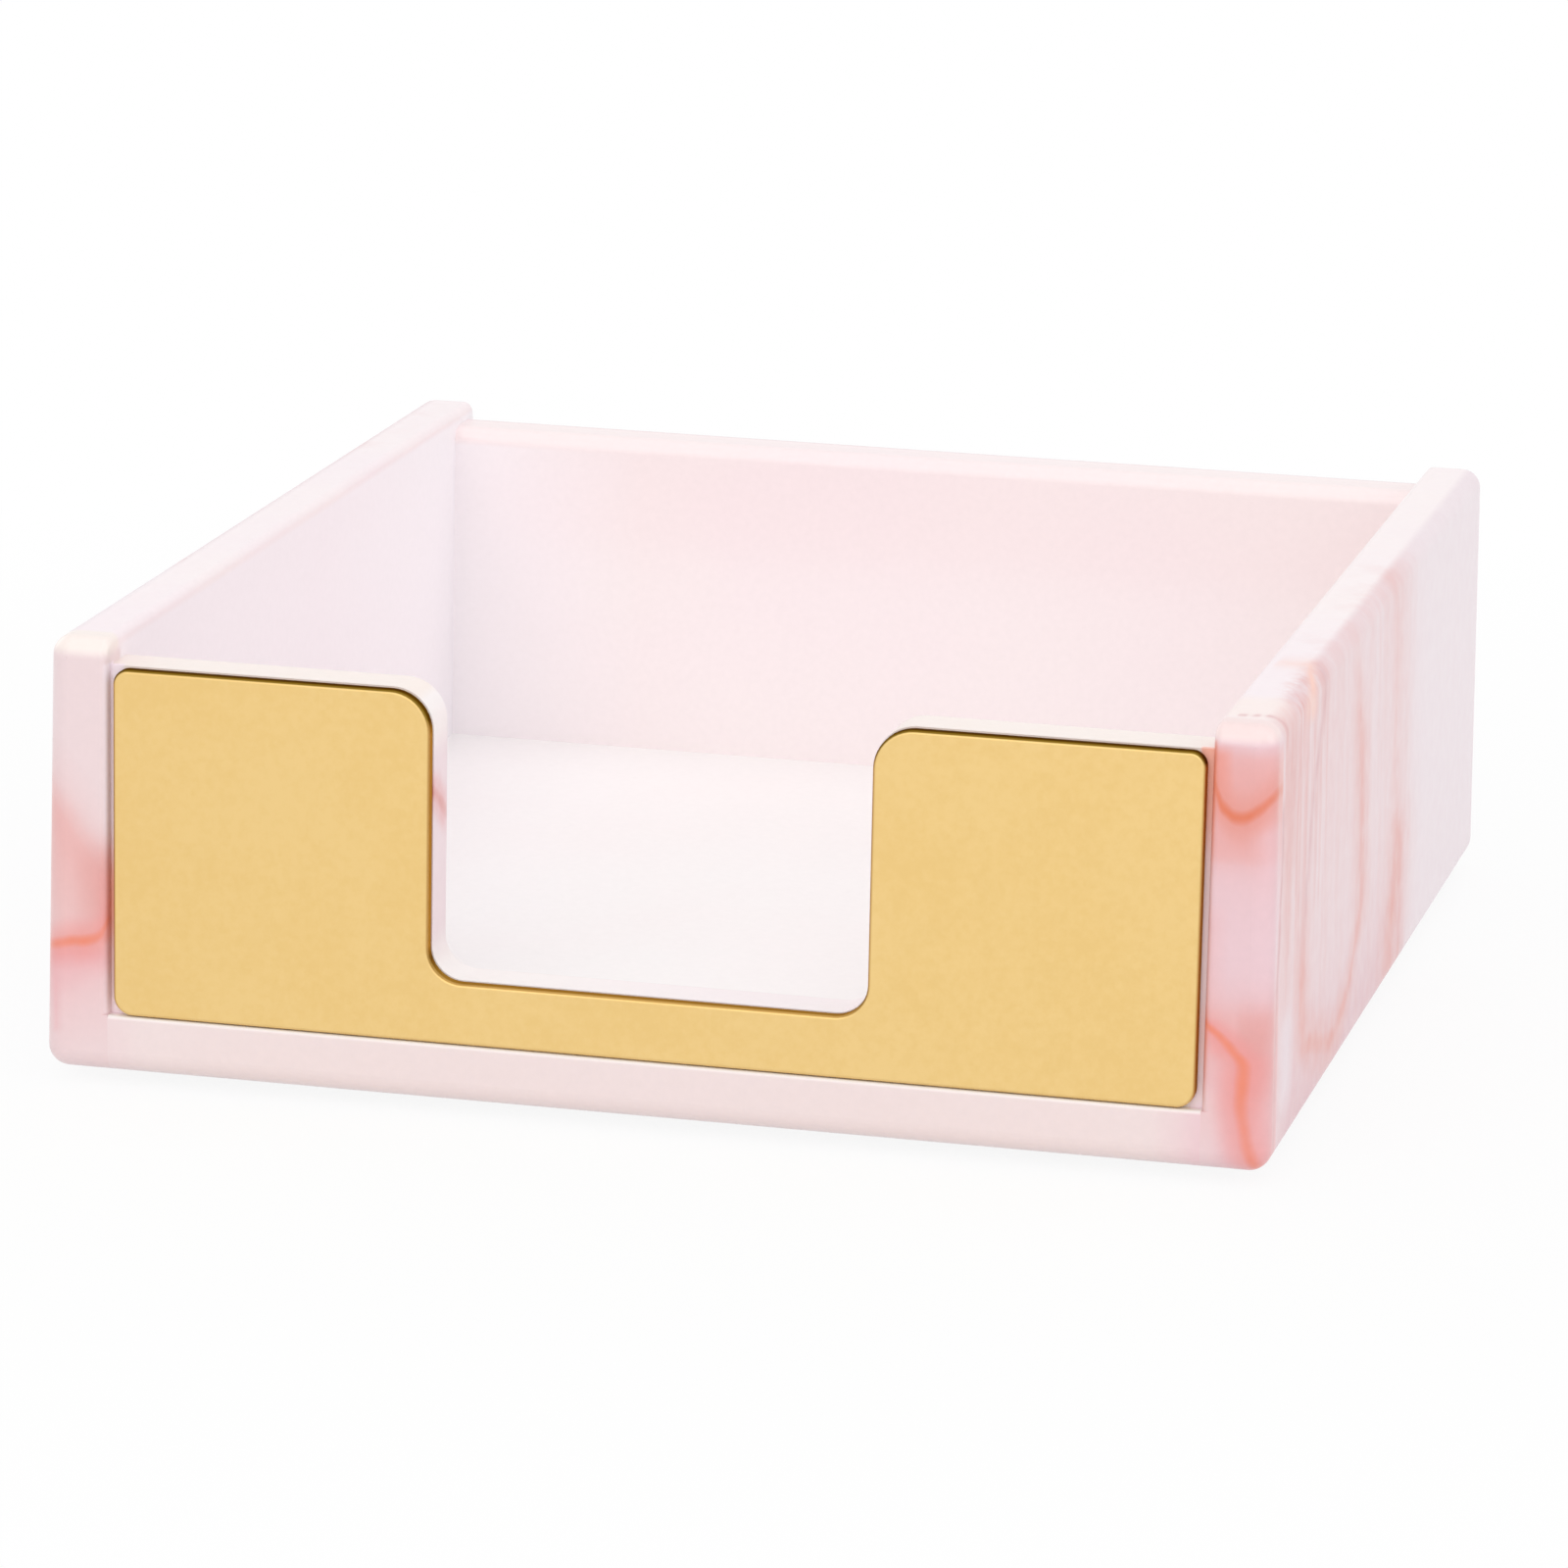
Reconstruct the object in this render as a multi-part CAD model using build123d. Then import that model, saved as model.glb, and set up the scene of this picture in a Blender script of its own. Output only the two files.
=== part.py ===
"""Sticky note dispenser: an open tray of bonded boards with a notched metal plate let into its front.

Millimetres, +Z up. The front faces -Y, and the origin lies on the desk under the middle of the tray.
"""
import os

from build123d import *

# Tray, measured at its foot and without its pads
tray_width = 90.0
tray_depth = 94.5
side_height = 32.1
front_height = 30.15
back_height = 30.8

# Boards: the sides are thickest at the foot, because their outer faces lean in towards the top
side_thickness = 4.9
side_lean_in = 0.5
front_thickness = 4.8
back_thickness = 4.8
base_thickness = 4.0
floor_level = 4.8
# How far the back board stands in from the rear ends of the sides
back_inset = 1.0

# Rounded edges of the boards
side_edge_radius = 1.5
side_inner_edge_radius = 0.6
underside_edge_radius = 1.6
back_edge_radius = 1.2
front_edge_radius = 0.5
rail_edge_radius = 0.3

# Tongues and grooves that locate the boards while their joints are bonded
tongue_length = 2.0
tongue_thickness = 2.0
tongue_stop = 4.0
joint_clearance = 0.1

# Finger notch in the front board
notch_width = 32.05
notch_floor = 9.0
notch_top_radius = 3.0
notch_floor_radius = 2.4

# Metal plate, flush in a rebate of the front board, above the rail along the board's lower edge
rail_height = 4.35
plate_thickness = 0.8
plate_side_gap = 0.45
plate_lower_gap = 0.1
plate_top_drop = 0.1
plate_notch_reveal = 0.05
plate_top_radius = 1.1
plate_lower_radius = 1.4
plate_edge_radius = 0.25

# Double-sided film behind the plate, cut a little smaller than the plate
film_thickness = 0.15
film_margin = 0.8

# Foot pads under the base
pad_diameter = 10.0
pad_thickness = 1.8
pad_edge_radius = 0.4
pad_inset = 9.0

# How far each cut runs past the surface that it opens
overrun = 1.0
# Half the band in which an edge counts as lying on a plane
pick_band = 0.001

# Heights above the desk
base_underside = pad_thickness
base_top = base_underside + base_thickness
boards_underside = base_top - floor_level
side_top = boards_underside + side_height
front_top = boards_underside + front_height
back_top = boards_underside + back_height
rail_top = boards_underside + rail_height
notch_bottom = boards_underside + notch_floor
tongue_bottom = base_underside + (base_thickness - tongue_thickness) / 2

# Places across the tray and along its depth
side_outer = tray_width / 2
side_inner = side_outer - side_thickness
front_face = -tray_depth / 2
rebate_face = front_face + plate_thickness + film_thickness
front_rear = front_face + front_thickness
rear_end = tray_depth / 2
back_face = rear_end - back_inset
back_front = back_face - back_thickness


def block(low, high):
    """Rectangular block between its lowest and highest corners."""
    size = [upper - lower for lower, upper in zip(low, high)]
    return Pos(*low) * Box(*size, align=(Align.MIN, Align.MIN, Align.MIN))


def on_plane(edges, axis, place):
    """Edges whose middle lies at a place along an axis."""
    return edges.filter_by_position(axis, place - pick_band, place + pick_band)


def notched_outline(half_width, lower, upper, notch_half, notch_low, top_radius, lower_radius):
    """U-shaped outline in X and Z of the front board or of what is fixed to its face.

    The notch of a piece that stands back from the board's notch is larger all round, and its corners
    keep the board's centres.
    """
    reveal = notch_half - notch_width / 2
    corners = [
        (-half_width, lower), (half_width, lower), (half_width, upper), (notch_half, upper),
        (notch_half, notch_low), (-notch_half, notch_low), (-notch_half, upper), (-half_width, upper),
    ]
    outline = make_face(Polyline(*corners, close=True))
    radii = [
        ((half_width, lower), lower_radius),
        ((half_width, upper), top_radius),
        ((notch_half, upper), notch_top_radius - reveal),
        ((notch_half, notch_low), notch_floor_radius + reveal),
    ]
    for (across, height), radius in radii:
        if radius > 0:
            pair = on_plane(outline.vertices(), Axis.Y, height)
            pair = [corner for corner in pair if abs(abs(corner.X) - across) < pick_band]
            outline = fillet(pair, radius)
    return outline


def upright(outline, front, rear):
    """Plate with the given outline in X and Z, between two places along Y."""
    return Pos(0, rear, 0) * Rot(X=90) * extrude(outline, amount=rear - front)


def base_tongue(across, along):
    """Slab that reaches from the base's edges into the grooves, between two half sizes."""
    low = (-across, front_rear - along, tongue_bottom)
    high = (across, back_front + along, tongue_bottom + tongue_thickness)
    return block(low, high)


def base_groove(across, along):
    """Room for the base's tongue and its clearance, between two half sizes."""
    low = (-across, front_rear - along, tongue_bottom - joint_clearance)
    high = (across, back_front + along, tongue_bottom + tongue_thickness + joint_clearance)
    return block(low, high)


def end_tongue(front, rear, top, room):
    """Upright tongue on both ends of the front or back board, or its groove where room is above zero."""
    middle = (front + rear) / 2
    reach = side_inner + tongue_length + room
    low = (-reach, middle - tongue_thickness / 2 - room, boards_underside + tongue_stop - room)
    high = (reach, middle + tongue_thickness / 2 + room, top - tongue_stop + room)
    return block(low, high)


def make_base():
    """Base board: its top is the floor of the tray, and its tongues sit in all four walls."""
    board = block((-side_inner, front_rear, base_underside), (side_inner, back_front, base_top))
    board += base_tongue(side_inner + tongue_length, -joint_clearance)
    board += base_tongue(side_inner - joint_clearance, tongue_length)
    return board


def make_rear_foot():
    """What the rounding of a side's rear inner edge takes off, up to the rounding of the underside."""
    ease = side_inner + side_inner_edge_radius
    rear_ease = rear_end - side_inner_edge_radius
    foot_top = boards_underside + underside_edge_radius
    foot = block((side_inner, rear_ease, boards_underside), (ease, rear_end, foot_top))
    return foot - Pos(ease, rear_ease, boards_underside) * Cylinder(
        side_inner_edge_radius, underside_edge_radius, align=(Align.CENTER, Align.CENTER, Align.MIN))


def make_right_side():
    """Right side board, with rounded edges wherever no other board meets it."""
    corners = [
        (side_inner, boards_underside), (side_outer, boards_underside),
        (side_outer - side_lean_in, side_top), (side_inner, side_top),
    ]
    board = upright(make_face(Polyline(*corners, close=True)), front_face, rear_end)
    outer = board.edges() - on_plane(board.edges(), Axis.X, side_inner)
    uprights = on_plane(outer, Axis.Z, boards_underside + side_height / 2)
    board = fillet(uprights + on_plane(outer, Axis.Z, side_top), side_edge_radius)
    inner = on_plane(board.edges(), Axis.X, side_inner)
    inner -= on_plane(inner, Axis.Z, boards_underside)
    board = fillet(inner, side_inner_edge_radius)
    # The rail meets the side squarely, so the side's inner edge is square beside it
    ease = side_inner + side_inner_edge_radius
    front_ease = front_face + side_inner_edge_radius
    board += block((side_inner, front_face, boards_underside), (ease, front_ease, rail_top))
    # The rear inner edge is square at its foot while the underside's edges are rounded
    foot = make_rear_foot()
    board += foot
    under = on_plane(board.edges(), Axis.Z, boards_underside)
    under -= on_plane(under, Axis.X, side_inner)
    board = fillet(under, underside_edge_radius)
    board -= foot
    board -= base_groove(side_inner + tongue_length + joint_clearance, 0)
    board -= end_tongue(rebate_face, front_rear, front_top, joint_clearance)
    board -= end_tongue(back_front, back_face, back_top, joint_clearance)
    return board


def make_front():
    """Front board: a rail along its lower edge, a rebate for the plate above it, and the finger notch."""
    outline = notched_outline(
        side_inner, boards_underside, front_top, notch_width / 2, notch_bottom, 0, 0)
    board = upright(outline, front_face, front_rear)
    rear = on_plane(board.edges(), Axis.Y, front_rear)
    rear -= on_plane(rear, Axis.Z, boards_underside)
    rear -= on_plane(rear, Axis.X, side_inner) + on_plane(rear, Axis.X, -side_inner)
    board = fillet(rear, front_edge_radius)
    board -= block((-side_inner - overrun, front_face - overrun, rail_top),
                   (side_inner + overrun, rebate_face, front_top + overrun))
    rail = on_plane(board.edges().filter_by(Axis.X), Axis.Y, front_face)
    board = fillet(on_plane(rail, Axis.Z, rail_top), rail_edge_radius)
    rail = on_plane(board.edges().filter_by(Axis.X), Axis.Y, front_face)
    board = fillet(on_plane(rail, Axis.Z, boards_underside), underside_edge_radius)
    board += end_tongue(rebate_face, front_rear, front_top, 0) - block(
        (-side_inner, front_face, boards_underside), (side_inner, front_rear, front_top))
    board -= base_groove(side_inner + overrun, tongue_length + joint_clearance)
    return board


def make_back():
    """Back board, with its top edges rounded."""
    board = block((-side_inner, back_front, boards_underside), (side_inner, back_face, back_top))
    along = board.edges().filter_by(Axis.X)
    board = fillet(on_plane(along, Axis.Z, back_top), back_edge_radius)
    rear = on_plane(board.edges().filter_by(Axis.X), Axis.Y, back_face)
    board = fillet(on_plane(rear, Axis.Z, boards_underside), underside_edge_radius)
    board += end_tongue(back_front, back_face, back_top, 0)
    board -= base_groove(side_inner + overrun, tongue_length + joint_clearance)
    return board


def plate_outline(margin):
    """Outline of the plate, or of the film, which is smaller by a margin all round."""
    return notched_outline(
        side_inner - plate_side_gap - margin,
        rail_top + plate_lower_gap + margin,
        front_top - plate_top_drop - margin,
        notch_width / 2 + plate_notch_reveal + margin,
        notch_bottom - plate_notch_reveal - margin,
        max(plate_top_radius - margin, 0),
        max(plate_lower_radius - margin, 0),
    )


def make_plate():
    """Metal plate, flush with the rail and with the ends of the side boards."""
    plate = upright(plate_outline(0), front_face, front_face + plate_thickness)
    return fillet(on_plane(plate.edges(), Axis.Y, front_face), plate_edge_radius)


def make_film():
    """Double-sided film that holds the plate in its rebate."""
    return upright(plate_outline(film_margin), front_face + plate_thickness, rebate_face)


def make_pad(across, along):
    """Foot pad stuck under the base, with its lower rim rounded."""
    pad = Pos(across, along, 0) * Cylinder(
        pad_diameter / 2, pad_thickness, align=(Align.CENTER, Align.CENTER, Align.MIN))
    return fillet(on_plane(pad.edges(), Axis.Z, 0), pad_edge_radius)


right_side = make_right_side()
pieces = {
    "base_panel": make_base(),
    "right_side_panel": right_side,
    "left_side_panel": mirror(right_side, about=Plane.YZ),
    "front_panel": make_front(),
    "back_panel": make_back(),
    "front_plate": make_plate(),
    "plate_adhesive": make_film(),
}
for end, along in (("front", front_rear + pad_inset), ("rear", back_front - pad_inset)):
    for hand, across in (("left", pad_inset - side_inner), ("right", side_inner - pad_inset)):
        pieces[f"foot_pad_{end}_{hand}"] = make_pad(across, along)

os.makedirs("parts", exist_ok=True)
for name, piece in pieces.items():
    export_step(piece, f"parts/{name}.step")
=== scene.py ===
"""Looks of the sticky note dispenser: marble-print boards, gold-tone plate, foot pads, studio and camera.

Blender objects are in metres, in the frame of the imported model: +Z up, the front towards -Y, and the origin
on the desk under the middle of the tray. Marks on the boards are placed in millimetres from each board's
lowest corner.
"""

import logging
import math
from abc import ABC, abstractmethod
from dataclasses import dataclass, field
from enum import Enum

import bpy
from mathutils import Euler, Matrix, Vector


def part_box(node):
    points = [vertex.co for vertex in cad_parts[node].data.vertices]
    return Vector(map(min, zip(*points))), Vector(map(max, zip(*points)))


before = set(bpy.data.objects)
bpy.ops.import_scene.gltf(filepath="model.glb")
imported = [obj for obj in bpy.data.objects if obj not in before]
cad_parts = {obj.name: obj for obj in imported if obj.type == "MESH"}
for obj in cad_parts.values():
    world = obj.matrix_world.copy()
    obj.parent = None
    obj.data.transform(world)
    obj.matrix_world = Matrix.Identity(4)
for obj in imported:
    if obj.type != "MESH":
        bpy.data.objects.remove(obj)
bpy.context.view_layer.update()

logging.basicConfig(level=logging.INFO, format="%(message)s")
log = logging.getLogger("dispenser")

MM = 0.001
WHITE = (1.0, 1.0, 1.0, 1.0)
# Bands in which most values, or nearly all values, of a noise pattern lie, and its middle on three axes
NOISE_BAND = (0.35, 0.65)
WIDE_BAND = (0.3, 0.7)
NOISE_MIDDLE = (0.5, 0.5, 0.5)
# Least rise that a drawn curve is stretched from
LEAST_RISE = 1e-6

Socket = bpy.types.NodeSocket
Value = Socket | float | tuple[float, ...] | None
Band = tuple[float, float]
Span = tuple[float | None, float | None]


class Axis(Enum):
    """Direction on the tray."""

    ACROSS = 0
    DEEP = 1
    UP = 2


class Board(Enum):
    """Board of the tray, by the name of its node."""

    BASE = "base_panel"
    LEFT = "left_side_panel"
    RIGHT = "right_side_panel"
    FRONT = "front_panel"
    BACK = "back_panel"


class Ink(Enum):
    """Colours of the marble print, and a near-white for painted light."""

    SALMON = "#EFA3A8"
    CORAL = "#F18B71"
    EMBER = "#E67C5B"
    ROSE = "#E6ACAA"
    BRICK = "#DE8C84"
    MAUVE = "#D3999F"
    PEACH = "#FBC6B6"
    LILAC = "#EFCAD2"
    FLAME = "#FFB499"
    # Near-white that is painted light, not a colour of the print
    PAINTED_LIGHT = "#FFFBFF"
    CLAY = "#E5958B"
    SHELL = "#ECA59F"
    HEATHER = "#DBA3AE"


class Noise(Enum):
    """Kind of noise pattern, by its detail and roughness."""

    SMOOTH = (1.0, 0.5)
    SOFT = (2.0, 0.5)
    FINE = (2.0, 0.6)
    STREAKY = (3.0, 0.55)
    CLOUDY = (3.0, 0.6)


def linear(hex_colour: str) -> tuple[float, float, float, float]:
    """Turns an sRGB hex colour into linear light.

    Args:
        hex_colour: Colour written as #RRGGBB.

    Returns:
        Linear red, green and blue, and an alpha of 1.
    """
    shares = [int(hex_colour[start:start + 2], 16) / 255 for start in (1, 3, 5)]
    red, green, blue = (
        share / 12.92 if share <= 0.04045 else ((share + 0.055) / 1.055) ** 2.4 for share in shares
    )
    return red, green, blue, 1.0


class Bench:
    """Node tree that is being put together, with one way to add a node to it."""

    def __init__(self, tree: bpy.types.NodeTree, material: bpy.types.Material | None = None) -> None:
        """Starts with an empty tree.

        Args:
            tree: Node tree of a material or of the world.
            material: Material that the tree belongs to, or None for the world's.
        """
        self.tree = tree
        self.material = material
        tree.nodes.clear()

    @classmethod
    def for_material(cls, name: str) -> "Bench":
        """Opens the node tree of a new material.

        Args:
            name: Name of the material.

        Returns:
            The bench that holds the material's tree.
        """
        material = bpy.data.materials.new(name)
        material.use_nodes = True
        return cls(material.node_tree, material)

    def add(
        self,
        kind: str,
        *values: Value,
        out: int | str = 0,
        sockets: dict[str, Value] | None = None,
        **settings: object,
    ) -> Socket | None:
        """Adds a node, with its settings and what goes into its sockets.

        Args:
            kind: Blender's name of the node without its "ShaderNode".
            values: What goes into the node's live sockets in order; None leaves one as it is.
            out: Number or name of the output that is wanted.
            sockets: What goes into sockets by name.
            settings: Properties of the node.

        Returns:
            The wanted output, or None if the node has no outputs.
        """
        node = self.tree.nodes.new("ShaderNode" + kind)
        for name, setting in settings.items():
            setattr(node, name, setting)
        live = [socket for socket in node.inputs if socket.enabled]
        wanted = list(zip(live, values))
        wanted += [(node.inputs[name], value) for name, value in (sockets or {}).items()]
        for socket, value in wanted:
            if isinstance(value, Socket):
                self.tree.links.new(value, socket)
            elif value is not None:
                socket.default_value = value
        if not node.outputs:
            return None
        if isinstance(out, str):
            return node.outputs[out]
        return [socket for socket in node.outputs if socket.enabled][out]

    def drawn(self, value: Value, points: list[tuple[float, float]]) -> Socket:
        """Reads a curve that was drawn through given points.

        Args:
            value: Place at which the curve is read.
            points: Places and heights of the curve, from one end to the other.

        Returns:
            Height of the curve, level past its ends.
        """
        places = [place for place, _ in points]
        heights = [height for _, height in points]
        low = min(heights)
        rise = max(max(heights) - low, LEAST_RISE)
        share = self.add("MapRange", value, places[0], places[-1], 0.0, 1.0)
        read = self.add("FloatCurve", 1.0, share)
        curve = read.node.mapping.curves[0]
        for index, (place, height) in enumerate(points):
            spot = ((place - places[0]) / (places[-1] - places[0]), (height - low) / rise)
            if index in (0, len(points) - 1):
                curve.points[0 if index == 0 else -1].location = spot
            else:
                curve.points.new(*spot)
        for point in curve.points:
            point.handle_type = "AUTO_CLAMPED"
        read.node.mapping.update()
        return self.add("MapRange", read, 0.0, 1.0, low, low + rise)

    def finish(self, **sockets: Value) -> bpy.types.Material:
        """Ends the tree in one Principled shader.

        Args:
            sockets: What goes into the shader, by its sockets' names with underscores for blanks.

        Returns:
            The finished material.
        """
        named = {name.replace("_", " "): value for name, value in sockets.items()}
        self.add("OutputMaterial", self.add("BsdfPrincipled", sockets=named))
        return self.material


@dataclass(frozen=True)
class Patch:
    """Part of a board on which a mark shows, in mm from the board's lowest corner; None is an open side."""

    across: Span = (None, None)
    deep: Span = (None, None)
    up: Span = (None, None)
    soft: float = 0.5

    def mask(self, bench: Bench, place: list[Socket]) -> Value:
        """Adds the nodes that are 1 inside the patch and 0 outside it.

        Args:
            bench: Node tree to add them to.
            place: Coordinates on the board in mm.

        Returns:
            How far a point is inside.
        """
        shown: Value = 1.0
        half = self.soft / 2
        for axis, (low, high) in zip(Axis, (self.across, self.deep, self.up)):
            for edge, before, after in ((low, 0.0, 1.0), (high, 1.0, 0.0)):
                if edge is not None:
                    side = bench.add(
                        "MapRange", place[axis.value], edge - half, edge + half, before, after,
                        interpolation_type="SMOOTHSTEP")
                    shown = bench.add("Math", shown, side, operation="MULTIPLY")
        return shown


class Mark(ABC):
    """Mark of the print on a board."""

    @abstractmethod
    def layers(self, bench: Bench, place: list[Socket], still: list[Socket]) -> list[tuple[Value, str]]:
        """Adds the nodes that draw the mark.

        Args:
            bench: Node tree to add them to.
            place: Wandering coordinates on the board in mm.
            still: The same coordinates without their wander.

        Returns:
            Strength and colour of each layer, the lowest first.
        """


@dataclass(frozen=True)
class Tone(Mark):
    """Part of a board that has a ground colour of its own."""

    colour: str
    patch: Patch

    def layers(self, bench: Bench, place: list[Socket], still: list[Socket]) -> list[tuple[Value, str]]:
        """Covers the patch with the colour."""
        return [(self.patch.mask(bench, still), self.colour)]


@dataclass(frozen=True)
class Vein(Mark):
    """Vein that was drawn through points: the place along its run, the place across it, and its strength."""

    run: Axis
    stray: Axis
    points: tuple[tuple[float, float, float], ...]
    core: float
    halo: float
    patch: Patch = Patch()
    ink: Ink = Ink.CORAL
    blush: Ink = Ink.SALMON
    halo_strength: float = 0.6
    glow_strength: float = 0.35
    glow_reach: float = 2.5
    patchy: float = 0.3
    fleck: float = 2.4

    def layers(self, bench: Bench, place: list[Socket], still: list[Socket]) -> list[tuple[Value, str]]:
        """Adds the nodes that draw the vein.

        Args:
            bench: Node tree to add them to.
            place: Wandering coordinates on the board in mm.
            still: The same coordinates without their wander.

        Returns:
            Strength and colour of the halo and of the core.
        """
        run = place[self.run.value]
        path = bench.drawn(run, [(along, stray) for along, stray, _ in self.points])
        strength = bench.drawn(run, [(along, strength) for along, _, strength in self.points])
        shown = bench.add("Math", strength, self.patch.mask(bench, still), operation="MULTIPLY")
        flecks = bench.add("TexNoise", bench.add("CombineXYZ", *still), 1 / self.fleck, *Noise.SOFT.value)
        flecks = bench.add("MapRange", flecks, *NOISE_BAND, 1 - self.patchy, 1 + self.patchy / 2)
        shown = bench.add("Math", shown, flecks, operation="MULTIPLY")
        off = bench.add("Math", place[self.stray.value], path, operation="SUBTRACT")
        off = bench.add("Math", off, operation="ABSOLUTE")
        core = bench.add("MapRange", off, 0.0, self.core, 1.0, 0.0, interpolation_type="SMOOTHSTEP")
        glow = bench.add(
            "MapRange", off, 0.0, self.glow_reach * self.core, self.glow_strength, 0.0,
            interpolation_type="SMOOTHSTEP")
        core = bench.add("Math", core, glow, operation="MAXIMUM")
        halo = bench.add(
            "MapRange", off, 0.0, self.halo, self.halo_strength, 0.0, interpolation_type="SMOOTHERSTEP")
        return [
            (bench.add("Math", halo, shown, operation="MULTIPLY"), self.blush.value),
            (bench.add("Math", core, shown, operation="MULTIPLY"), self.ink.value),
        ]


@dataclass(frozen=True)
class Wash(Mark):
    """Tint that comes and goes along a board, through points of place and strength."""

    run: Axis
    points: tuple[tuple[float, float], ...]
    patch: Patch = Patch()
    ink: Ink = Ink.SALMON
    lean_with: Axis = Axis.ACROSS
    lean: float = 0.0

    def layers(self, bench: Bench, place: list[Socket], still: list[Socket]) -> list[tuple[Value, str]]:
        """Adds the nodes that draw the wash.

        Args:
            bench: Node tree to add them to.
            place: Wandering coordinates on the board in mm.
            still: The same coordinates without their wander.

        Returns:
            Strength and colour of the wash.
        """
        along = bench.add(
            "Math", place[self.lean_with.value], self.lean, place[self.run.value], operation="MULTIPLY_ADD")
        strength = bench.drawn(along, list(self.points))
        shown = bench.add("Math", strength, self.patch.mask(bench, still), operation="MULTIPLY")
        return [(shown, self.ink.value)]


@dataclass(frozen=True)
class Streaks(Mark):
    """Bundle of fine upright streaks, with their strength through points of height and strength."""

    spacing: float
    length: float
    points: tuple[tuple[float, float], ...]
    patch: Patch = Patch()
    ink: Ink = Ink.ROSE
    line_band: Band = (0.42, 0.66)

    def layers(self, bench: Bench, place: list[Socket], still: list[Socket]) -> list[tuple[Value, str]]:
        """Adds the nodes that draw the streaks.

        Args:
            bench: Node tree to add them to.
            place: Wandering coordinates on the board in mm.
            still: The same coordinates without their wander.

        Returns:
            Strength and colour of the streaks.
        """
        joined = bench.add("CombineXYZ", *place)
        squeeze = (1 / self.spacing, 1 / self.spacing, 1 / self.length)
        stretched = bench.add("VectorMath", joined, squeeze, operation="MULTIPLY")
        grain = bench.add("TexNoise", stretched, 1.0, *Noise.STREAKY.value)
        lines = bench.add("MapRange", grain, *self.line_band, 0.0, 1.0, interpolation_type="SMOOTHSTEP")
        strength = bench.drawn(still[Axis.UP.value], list(self.points))
        shown = bench.add("Math", strength, self.patch.mask(bench, still), operation="MULTIPLY")
        return [(bench.add("Math", lines, shown, operation="MULTIPLY"), self.ink.value)]


@dataclass(frozen=True)
class MarblePrint:
    """Pink marble print on a moulded board, under satin lacquer.

    The print gives a pale, milky ground with soft clouds, blushes that fade at their borders and thin
    orange veins; the lacquer gives a soft sheen and rounds the light off along the edges.
    """

    ground: str = "#FEF2F2"
    haze: str = "#FCEEF2"
    marks: tuple[Mark, ...] = ()
    cloud: float = 24.0
    wander: float = 5.0
    wander_reach: float = 0.4
    mottle: float = 0.6
    mottle_depth: float = 0.025
    lacquer_wave: float = 1.6
    wave_height: float = 0.05
    wave_strength: float = 0.03
    sheen: Band = (0.3, 0.4)
    index: float = 1.5
    coat: float = 0.3
    coat_roughness: float = 0.2

    def make(self, board: Board) -> bpy.types.Material:
        """Makes the material of one board.

        Args:
            board: Board that it is for.

        Returns:
            The material.
        """
        bench = Bench.for_material(f"marble_print_{board.value}")
        here = bench.add("TexCoord", out="Object")
        everywhere = bench.add("VectorMath", here, 1 / MM, operation="SCALE")
        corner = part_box(board.value)[0] / MM
        local = bench.add("VectorMath", everywhere, tuple(corner), operation="SUBTRACT")
        still = list(bench.add("SeparateXYZ", local).node.outputs)
        drift = bench.add("TexNoise", everywhere, 1 / self.wander, *Noise.SOFT.value, out="Color")
        drift = bench.add("VectorMath", drift, NOISE_MIDDLE, operation="SUBTRACT")
        drift = bench.add("VectorMath", drift, 2 * self.wander_reach, operation="SCALE")
        place = list(bench.add("SeparateXYZ", bench.add("VectorMath", local, drift)).node.outputs)

        cloud = bench.add("TexNoise", everywhere, 1 / self.cloud, *Noise.SOFT.value)
        cloud = bench.add("MapRange", cloud, *NOISE_BAND, 0.0, 1.0)
        colour = bench.add("Mix", cloud, linear(self.ground), linear(self.haze), data_type="RGBA")
        for mark in self.marks:
            for strength, ink in mark.layers(bench, place, still):
                colour = bench.add("Mix", strength, colour, linear(ink), data_type="RGBA")

        mottle = bench.add("TexNoise", everywhere, 1 / self.mottle, *Noise.FINE.value)
        shade = bench.add("MapRange", mottle, 0.0, 1.0, 1 - self.mottle_depth, 1 + self.mottle_depth)
        colour = bench.add("VectorMath", colour, shade, operation="SCALE")
        wave = bench.add("TexNoise", everywhere, 1 / self.lacquer_wave, *Noise.SMOOTH.value)
        roughness = bench.add("MapRange", wave, *WIDE_BAND, *self.sheen)
        normal = bench.add("Bump", self.wave_strength, self.wave_height * MM, sockets={"Height": wave})
        return bench.finish(
            Base_Color=colour, Roughness=roughness, Normal=normal, IOR=self.index,
            Coat_Weight=self.coat, Coat_Roughness=self.coat_roughness)


# Places that several patches share: outer faces of the sides across, and along the depth the front ends of
# the sides and the recess behind the ends of the plate
RIGHT_FACE: Span = (3.3, None)
LEFT_FACE: Span = (None, 1.6)
END_DEEP: Span = (None, 2.3)
GAP_DEEP: Span = (0.6, 1.4)

FRONT_END = Patch(deep=(None, 2.9), soft=0.8)
END_FACE = Patch(deep=(None, 3.1), up=(None, 31.0), soft=0.9)
END_TOP = Patch(deep=(None, 2.6), up=(30.2, None), soft=0.9)
RIGHT_OUTER = Patch(across=RIGHT_FACE, deep=(2.4, None), soft=0.8)
RIGHT_TOP = Patch(deep=(2.3, None), up=(30.6, None), soft=0.8)
MARK_REACH = Patch(deep=(2.3, None), up=(29.6, None), soft=1.6)
RIGHT_CORNER = Patch(across=(3.5, None), soft=0.6)
LEFT_OUTER = Patch(across=LEFT_FACE, deep=(2.4, None), soft=0.8)
LEFT_INNER = Patch(across=(4.3, None), deep=(2.3, None), up=(None, 31.2), soft=0.6)
BACK_OUTER = Patch(deep=(3.6, None), soft=0.7)
RAIL = Patch(deep=(None, 1.2), up=(None, 4.6), soft=0.4)

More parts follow.
